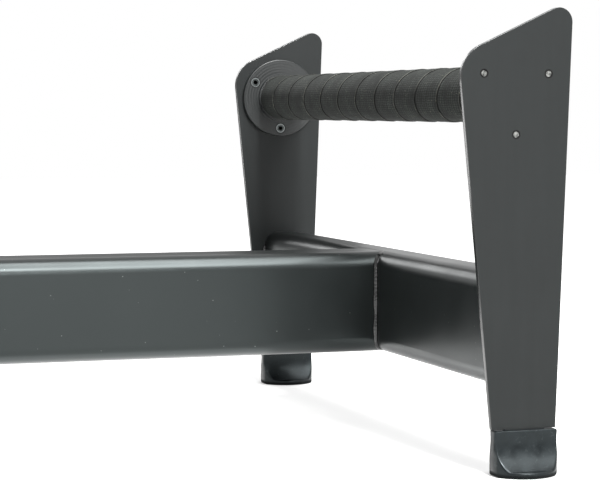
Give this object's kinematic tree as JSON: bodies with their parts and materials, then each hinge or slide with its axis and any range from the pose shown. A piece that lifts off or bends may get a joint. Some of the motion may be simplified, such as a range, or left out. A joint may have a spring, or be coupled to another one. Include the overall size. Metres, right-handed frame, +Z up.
{
  "type": "pull up bar",
  "caption": "Low steel floor frame with a tape-wound round grip bar between upright plates at each end, joined by a box-section rail and standing on scooped rubber feet.",
  "frame": {"origin": "on the floor, under the middle of the rail, halfway between the two grips", "axes": "+X along the rail towards the right grip, +Y along the grips towards the back, +Z up"},
  "size_m": [0.7242, 0.5688, 0.3249],
  "materials": {
    "tube_coat": "semi-gloss black powder coat",
    "plate_coat": "satin dark grey powder coat, fine texture",
    "weld": "coated weld bead",
    "grip_steel": "satin dark grey coat over turned and welded steel",
    "grip_tape": "matt dark grey cloth tape, wound with laps",
    "screw_steel": "dull zinc-plated steel",
    "foot_rubber": "matt black rubber with a grey bloom"
  },
  "bodies": {
    "root": {"main_rail": "tube_coat", "right_cross_tube": "tube_coat", "right_grip_bar": "grip_steel", "right_grip_tape": "grip_tape", "right_flange_screws": "screw_steel", "right_feet": "foot_rubber", "left_cross_tube": "tube_coat", "left_grip_bar": "grip_steel", "left_grip_tape": "grip_tape", "left_flange_screws": "screw_steel", "left_feet": "foot_rubber", "right_front_side_plate": "plate_coat", "right_front_rail_weld": "weld", "right_front_plate_welds": "weld", "right_back_side_plate": "plate_coat", "right_back_rail_weld": "weld", "right_back_plate_welds": "weld", "left_front_side_plate": "plate_coat", "left_front_rail_weld": "weld", "left_front_plate_welds": "weld", "left_back_side_plate": "plate_coat", "left_back_rail_weld": "weld", "left_back_plate_welds": "weld"}
  },
  "joints": []
}
